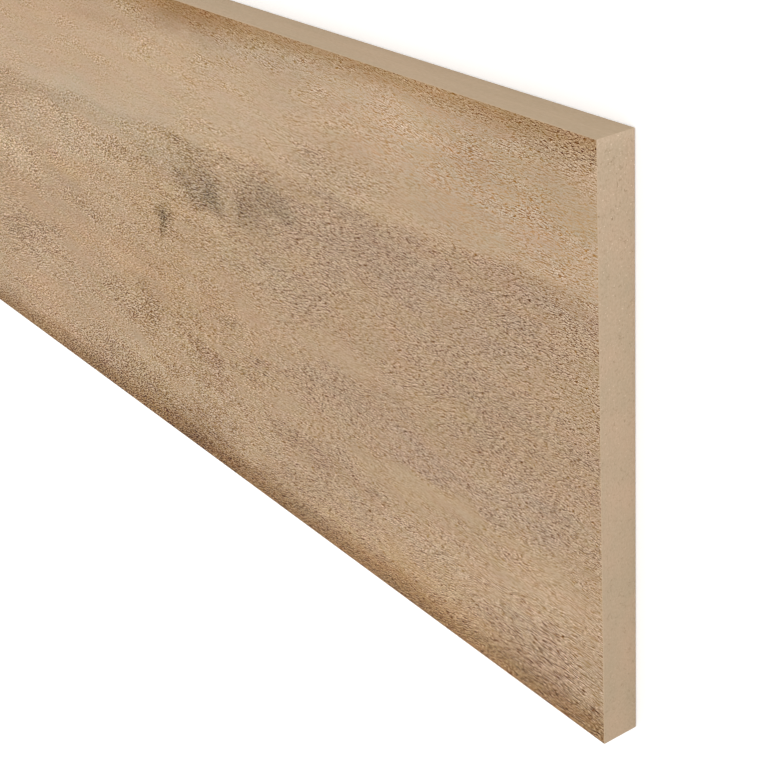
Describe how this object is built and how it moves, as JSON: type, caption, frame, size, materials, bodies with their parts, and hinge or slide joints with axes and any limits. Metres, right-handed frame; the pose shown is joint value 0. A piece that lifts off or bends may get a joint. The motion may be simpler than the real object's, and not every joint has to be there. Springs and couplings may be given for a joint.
{
  "type": "stair riser board",
  "caption": "Flat stair riser board of fibreboard with a printed rustic wood decor on its front face and bare sawn edges; it closes the upright gap between stair treads.",
  "frame": {"origin": "centre of the back face, which the board lies on", "axes": "+X along the board's length, +Y across its width towards the edge that meets the upper tread, +Z out of the decor face"},
  "size_m": [1.1938, 0.1874, 0.0127],
  "materials": {
    "decor_board": "matt printed wood decor on the front face, bare sawn fibreboard on the edges, ends and back"
  },
  "bodies": {
    "root": {"riser_board": "decor_board"}
  },
  "joints": []
}
